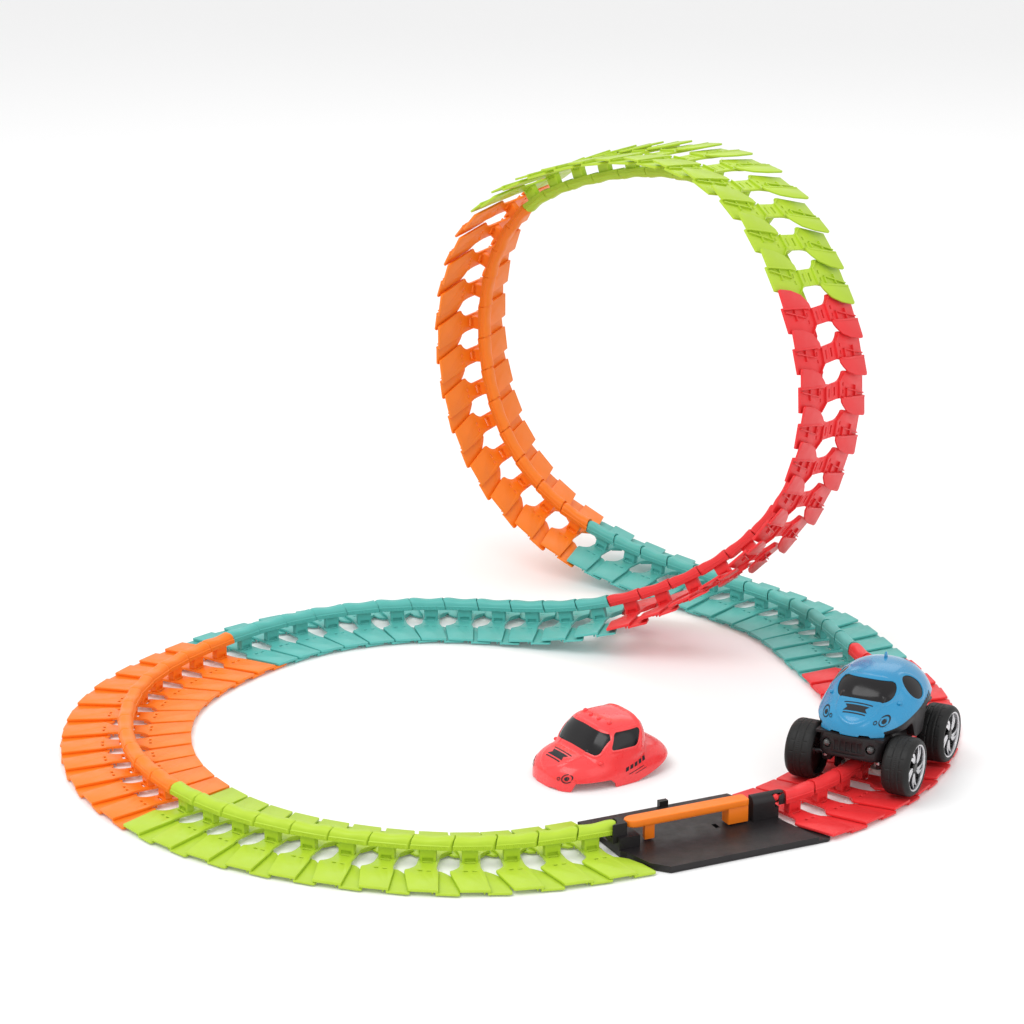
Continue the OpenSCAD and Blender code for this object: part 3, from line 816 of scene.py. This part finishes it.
def flat_decals(form, prints, where):
    """Several prints in one mesh, on the bonnet, on the front, or on one side."""
    def onto(a, b):
        if where == "bonnet":
            return (a, b, surface_z(form, a, b) + PRINT_LIFT)
        if where == "front":
            return (on_surface(form, a, b) + 0.5, a, b)
        return (a, surface_y(form, a, b, where) + PRINT_LIFT * where, b)
    mesh = joined("prints", [decal(o, onto) for o in prints])
    smooth(mesh, 60)
    return mesh


def disc(x, y, r):
    return [(x + r * math.cos(a), y + r * math.sin(a)) for a in np.linspace(0, 2 * math.pi, 17)[:-1]]


def ring(x, y, r, r_in):
    """A ring as two halves, so that each is a plain outline."""
    halves = []
    for start in (0, math.pi):
        arc = np.linspace(start, start + math.pi, 13)
        halves.append([(x + r * math.cos(a), y + r * math.sin(a)) for a in arc]
                      + [(x + r_in * math.cos(a), y + r_in * math.sin(a)) for a in arc[::-1]])
    return halves


def slash(x, z, length, height):
    """A slanted stroke of a generic speed pattern on a side."""
    back, raised = x - length, z + 0.25 * length
    return [(x, z), (back, raised), (back - 0.5, raised + height), (x - 0.5, z + height)]


# A notched badge between two stripes, strokes along the side, and printed headlamps
BONNET_PRINTS = [bar(29.2, 30.0, -9.5, 9.5), bar(37.2, 38.0, -7.5, 7.5),
                 [(31.2, -8), (33.7, -6), (36.2, -8), (36.2, 8), (33.7, 6), (31.2, 8)]]
SIDE_PRINTS = [slash(1.5 - 3.6 * k, 8.5 + 0.9 * k, 2.4, 2.6) for k in range(5)]
SIDE_PRINTS += [slash(-1, 6.2, 12, 0.6), slash(-6, 5.6, 9, 0.5)]


def nub(name, at, size, matrix, slot, body):
    """A small moulded bump, such as a mirror or a lamp."""
    bm = bmesh.new()
    bmesh.ops.create_icosphere(bm, subdivisions=3, radius=1)
    for v in bm.verts:
        v.co = Vector([(at[k] + v.co[k] * size[k]) * MM for k in range(3)])
    mesh = bpy.data.meshes.new(name)
    bm.to_mesh(mesh)
    bm.free()
    smooth(mesh)
    return place(name, mesh, matrix, slot, body)


MIRROR_X, MIRROR_Z = 18, BELT - 0.5
FIN_X = -17


def make_shell(name, form, windows, edge, ring_at, roll_bar, matrix, slot, body, nodes):
    shell, glass = skin(name, form, windows, edge, ring_at, roll_bar)
    place(f"{name}_piece", thicken(shell, 1.4, 0, 0.2), matrix, slot, body, nodes[:1])
    place(f"{name}_glazing", thicken(glass, 1.0, 0.35, 0), matrix, "dark_window", body, nodes[1:])
    prints = {"bonnet": BONNET_PRINTS, "left": SIDE_PRINTS, "right": SIDE_PRINTS}
    where = {"bonnet": "bonnet", "left": 1, "right": -1}
    for word, outlines in prints.items():
        mesh = flat_decals(form, outlines, where[word])
        place(f"{name}_{word}_print", mesh, matrix, slot, body, material="print_black")
    for side, word in SIDES:
        y, z = side * ring_at[1], ring_at[2]
        lamp = ring(y, z, 2.9, 2.3) + [disc(y, z, 1.3)] + ring(y - side * 4.6, z - 0.6, 1.1, 0.7)
        mesh = flat_decals(form, lamp, "front")
        place(f"{name}_{word}_lamp_print", mesh, matrix, slot, body, material="print_black")
        mirror_y = surface_y(form, MIRROR_X, MIRROR_Z, side) + side * 0.4
        nub(f"{name}_{word}_mirror", (MIRROR_X, mirror_y, MIRROR_Z), (1.8, 1.6, 1.2), matrix, slot, body)


def make_shells():
    lifted = CAR_M @ Matrix.Translation((0, 0, SHELL_Z * MM))
    make_shell("car_shell", round_form, round_windows, round_edge, (36, 19.5, 9.5), False, lifted,
               "car_blue", "car_body", ["car_shell", "car_windows"])
    fin_z = surface_z(round_form, FIN_X, 0) + 0.8
    nub("car_shell_fin", (FIN_X, 0, fin_z), (2.4, 0.9, 2.8), lifted, "car_blue", "car_body")
    make_shell("spare_shell", pickup_form, pickup_windows, pickup_edge, (36, 19, 8.5), True, SPARE_M,
               "spare_red", "spare", ["spare_shell", "spare_windows"])
    for k, y in enumerate((-13.5, -4.5, 4.5, 13.5)):
        x = 5.5 - 0.012 * y * y
        nub(f"spare_shell_roof_lamp_{k + 1}", (x, y, surface_z(pickup_form, x, y)), (1.7, 1.5, 1.6),
            SPARE_M, "spare_red", "spare")


# ---- Wheels ----------------------------------------------------------------------------------------

AXLE_X, WHEEL_Y, WHEEL_Z = 32, 23.5, 23.3
TYRE_R, TYRE_W = 18.8, 18.0
PETAL_BEND = 0.42


def lathe(name, profile, around, radius=None):
    """Turns (r, y) points round the Y axis; radius(a, r, y) may change r round the turn."""
    verts, faces, n = [], [], len(profile)
    for i in range(around):
        a = 2 * math.pi * i / around
        for r, y in profile:
            rr = radius(a, r, y) if radius else r
            verts.append((rr * math.cos(a), y, rr * math.sin(a)))
    for i in range(around):
        for k in range(n):
            a, b = i * n + k, i * n + (k + 1) % n
            c, d = ((i + 1) % around) * n + (k + 1) % n, ((i + 1) % around) * n + k
            faces.append([a, b, c, d])
    return solid(name, verts, faces)


def tyre_mesh():
    """A barrel tyre with two fine rings, a stitched centre line and short cross marks."""
    outer = []
    for t in np.linspace(0, 1, 46):
        y = TYRE_W * t
        edge = min(t, 1 - t)
        r = TYRE_R - 1.9 * max(0, 1 - edge / 0.2) ** 2.2 - 0.15 * (2 * t - 1) ** 2
        outer.append((r, y))
    profile = outer + [(15.05, TYRE_W - 0.1), (15.05, 0.1)]

    def tread(a, r, y):
        if r < 16.5:
            return r
        for ring in (6.4, 11.6):
            r -= 0.3 * math.exp(-(((y - ring) / 0.25) ** 2))
        if 8.0 < y < 9.9:
            r -= 0.22 * (0.5 + 0.5 * math.sin(a * 90))
        if (3.4 < y < 6.2 or 11.8 < y < 14.4) and abs((a * 8 / math.pi) % 1 - 0.5) < 0.035:
            r -= 0.25
        return r

    mesh = baked(lathe("tyre", profile, 360, tread))
    smooth(mesh, 60)
    return mesh


def petal(bend, inner, outer, width, low, high):
    """A curved leaf-shaped spoke, as an extruded outline."""
    left, right = [], []
    for t in np.linspace(0, 1, 12):
        r = inner + (outer - inner) * t
        a = bend * t * t
        half = width * math.sin(math.pi * (0.06 + 0.9 * t)) / 2
        c, s = math.cos(a), math.sin(a)
        left.append((r * c - half * s, r * s + half * c))
        right.append((r * c + half * s, r * s - half * c))
    return prism("petal", left + right[::-1], low, high)


def rim_meshes():
    """(silver mesh, black mesh) of a rim whose face looks along +Y."""
    silver, black = [], []
    ring = lathe("ring", [(13.6, 14.4), (13.9, TYRE_W - 0.5), (14.95, TYRE_W - 0.2), (14.95, 14.4)], 128)
    bevel(ring, 0.2, 2)
    silver.append(baked(ring))
    to_axis = Matrix.Rotation(-math.pi / 2, 4, "X")
    for k in range(5):
        for offset in (-0.13, 0.2):
            leaf = petal(PETAL_BEND, 3.6, 13.9, 2.7, 14.8, 16.6)
            bevel(leaf, 0.45, 3)
            mesh = baked(leaf)
            mesh.transform(to_axis @ Matrix.Rotation(k * 2 * math.pi / 5 + offset, 4, "Z"))
            silver.append(mesh)
    hub = lathe("hub", [(0.01, 14), (3.6, 14), (3.6, 16), (2.8, 16.8), (0.01, 16.9)], 48)
    black.append(baked(hub))
    dish = lathe("dish", [(0.01, 3), (14.9, 3), (14.9, 14.4), (13.7, 14.4), (11, 12.6), (4, 12.2),
                          (0.01, 12.2)], 96)
    black.append(baked(dish))
    s, b = joined("rim_silver", silver), joined("rim_black", black)
    for mesh in (s, b):
        smooth(mesh, 40)
    return s, b


def make_wheels():
    tyre = tyre_mesh()
    silver, black = rim_meshes()
    for end, x in (("front", AXLE_X), ("rear", -AXLE_X)):
        for side, word in SIDES:
            turn = Matrix.Identity(4) if side > 0 else Matrix.Rotation(math.pi, 4, "Z")
            m = CAR_M @ Matrix.Translation((x * MM, side * WHEEL_Y * MM, WHEEL_Z * MM)) @ turn
            body = f"{end}_wheels"
            place(f"{end}_{word}_tyre_piece", tyre, m, "tyre", body, [f"{end}_tyres"])
            place(f"{end}_{word}_rim_piece", silver, m, "rim", body, [f"{end}_rims"])
            place(f"{end}_{word}_rim_back", black, m, "rim", body, material="rim_black")


# ---- Chassis, bumper, side pods and lamps ---------------------------------------------------------

LAMP_X, LAMP_Y, LAMP_Z = 41.8, 14.5, 35
SOCKET_X = 46
TUB_LOW, TUB_HIGH, TUB_WALL, TUB_FLOOR = 26, 40.5, 1.4, 1.2
SKIRT = [(-22, 11), (-20, 9), (20, 9), (22, 11), (22, 26.5), (-22, 26.5)]
SKIRT_THICK = 1.6
# Half of the bumper's front from above
NOSE_HALF = [(46.6, 5), (46, 11), (44.2, 17), (41, 20.5), (37, 22)]


def across(mesh):
    """Turns a prism drawn in the side view (x, z) so that its height runs along y."""
    mesh.transform(Matrix.Rotation(math.pi / 2, 4, "X"))
    return mesh


def tub_outline(inset):
    """The chassis seen from above, with cut corners at both ends."""
    x, y, cut = 43.5 - inset, 22 - inset, 6.5
    return [(x, -y + cut), (x, y - cut), (x - cut, y), (-x + cut, y), (-x, y - cut), (-x, -y + cut),
            (-x + cut, -y), (x - cut, -y)]


def chassis_mesh():
    """The open tub, its bearing blocks and the skirts beside the rail."""
    tub = prism("tub", tub_outline(0), TUB_LOW, TUB_HIGH)
    room = prism("room", tub_outline(TUB_WALL), TUB_LOW + TUB_FLOOR, 60)
    carve(tub, [room])
    bevel(tub, 0.5, 2)
    parts = [baked(tub)]
    discard([room])
    for x in (-AXLE_X, AXLE_X):
        for y in (15, -21.2):
            bearing = block("bearing", (x - 4, y, 19.6), (x + 4, y + 6.2, 27))
            bevel(bearing, 0.8, 3)
            parts.append(baked(bearing))
    for y in (16.4, -18):
        skirt = prism("skirt", SKIRT, 0, SKIRT_THICK)
        bevel(skirt, 0.4, 2)
        mesh = across(baked(skirt))
        mesh.transform(Matrix.Translation((0, (y + SKIRT_THICK) * MM, 0)))
        parts.append(mesh)
    for y in (-18, 8):
        bumper = block("bumper", (-45.4, y, 26), (-43, y + 10, 36))
        bevel(bumper, 0.6, 2)
        parts.append(baked(bumper))
    mesh = joined("chassis", parts)
    smooth(mesh, 40)
    return mesh


def fascia_mesh():
    """The front bumper, with its row of grille slots and the lamp sockets."""
    nose = [(x, -y) for x, y in NOSE_HALF[::-1]] + NOSE_HALF
    obj = prism("fascia", nose, 28, 41.8)
    cuts = [block("cut", (45.6, y - 1.4, 32), (50, y + 1.4, 38.4)) for y in (-7.6, -3.8, 0, 3.8, 7.6)]
    cuts.append(block("cut", (45.9, -12, 29.8), (50, 12, 30.6)))
    cuts.append(prism("cut", tub_outline(-0.3), 20, 60))
    for y in (-LAMP_Y, LAMP_Y):
        socket = lathe("socket", [(0.01, -12), (3.1, -12), (3.1, 12), (0.01, 12)], 32)
        at = Matrix.Translation((SOCKET_X * MM, y * MM, LAMP_Z * MM))
        socket.data.transform(at @ Matrix.Rotation(math.pi / 2, 4, "Z"))
        cuts.append(socket)
    carve(obj, cuts)
    bevel(obj, 0.35, 2, 40)
    mesh = baked(obj)
    discard(cuts)
    smooth(mesh, 40)
    return mesh


def pod_mesh(side):
    """The black wing under one side's edge: a band that hugs the shell and drops between the wheels."""
    verts, faces = [], []
    for x in np.linspace(40, -36, 77):
        top = SHELL_Z + wheel_edge(x) + 0.4
        low = max(top - 7, WHEEL_Z + TYRE_R + 0.9)
        low -= (low - 33) * math.exp(-((x / 10) ** 6))
        outer = abs(surface_y(round_form, x, top - SHELL_Z, 1)) - 0.5
        section = [(outer, top), (outer + 0.3, (top + low) / 2), (outer - 0.6, low), (outer - 6, low),
                   (outer - 6, top)]
        verts += [(x, side * y, z) for y, z in section]
    rings = len(verts) // 5
    for i in range(rings - 1):
        a, b = i * 5, i * 5 + 5
        faces += [[a + k, a + (k + 1) % 5, b + (k + 1) % 5, b + k] for k in range(5)]
    faces += [list(range(5)), list(range((rings - 1) * 5, rings * 5))]
    obj = solid("pod", verts, faces)
    bevel(obj, 0.4, 2, 40)
    mesh = baked(obj)
    smooth(mesh, 35)
    return mesh


def lamp_mesh():
    lens = lathe("lens", [(0.01, 0), (2.3, 0), (2.35, 2.6), (2.1, 3.7), (1.3, 4.6), (0.01, 4.9)], 32)
    mesh = baked(lens)
    mesh.transform(Matrix.Rotation(-math.pi / 2, 4, "Z"))
    smooth(mesh, 50)
    return mesh


def make_car_trim():
    place("car_chassis_piece", chassis_mesh(), CAR_M, "black_plastic", "car", ["car_chassis"])
    place("car_fascia", fascia_mesh(), CAR_M, "black_plastic", "car")
    for side, word in SIDES:
        place(f"car_{word}_pod", pod_mesh(side), CAR_M, "black_plastic", "car")
        m = CAR_M @ Matrix.Translation((LAMP_X * MM, side * LAMP_Y * MM, LAMP_Z * MM))
        place(f"car_{word}_lamp", lamp_mesh(), m, "lamp", "car", ["car_lamps"])


# ---- Start station -----------------------------------------------------------------------------------

STATION_HEADING = 25.4
STATION_AT = np.array([112.7, -257.3, 0])
STATION_M = matrix_of(heading(STATION_HEADING), heading(STATION_HEADING + 90), (0, 0, 1),
                      STATION_AT + CENTRE_SHIFT)
GATE_LOW, GATE_HIGH = 15.9, 20
GATE_CORNER, GATE_END = 2, 6
GATE_FEET = [bar(20, 34, -4.3, 4.3), [(-37, -2.4), (-30, -2.4), (-31, 2.4), (-36, 2.4)]]


def bow(x, y, half_x, half_y, start, stop, n):
    """Points along part of an ellipse; start and stop are in quarter turns."""
    angles = np.linspace(start * math.pi / 2, stop * math.pi / 2, n)
    return [(x + half_x * math.cos(a), y + half_y * math.sin(a)) for a in angles]


def gate_outline(x0, x1, r):
    """The gate from above: rounded corners at its pivot end, and a round free end."""
    x, y, c = x1 - GATE_CORNER, r - GATE_CORNER, GATE_CORNER
    corners = bow(x, y, c, c, 1, 0, 4) + bow(x, -y, c, c, 0, -1, 4)
    return corners + bow(x0 + GATE_END, 0, GATE_END, r, -1, -3, 12)


def make_gate():
    rail = prism("gate", gate_outline(-49.6, 34.5, 5), GATE_LOW, GATE_HIGH)
    bevel(rail, 0.9, 4, 25)
    parts = [baked(rail)]
    under = prism("gate", gate_outline(-47.5, 33, 3.9), GATE_LOW - 1.1, GATE_LOW + 0.3)
    bevel(under, 0.4, 2)
    parts.append(baked(under))
    for outline in GATE_FEET:
        foot = prism("gate", outline, 5.1, 16)
        bevel(foot, 0.5, 2)
        parts.append(baked(foot))
    mesh = joined("gate", parts)
    smooth(mesh, 40)
    place("station_gate_piece", mesh, STATION_M, "orange", "gate", ["station_gate"])


# ---- Carried-over CAD nodes ------------------------------------------------------------------------


def dress_cad_nodes():
    slots = {p["node"]: p["material_slot"] for p in frame["record"]["subparts"]}
    for name, obj in frame["nodes"].items():
        if obj.hide_render:
            continue
        obj.data.materials.clear()
        obj.data.materials.append(MAT[slots[name]])
        bevel(obj, 0.25, 2, 40)


make_camera()
make_studio()
make_floor()
make_track()
make_shells()
make_wheels()
make_car_trim()
make_gate()
dress_cad_nodes()
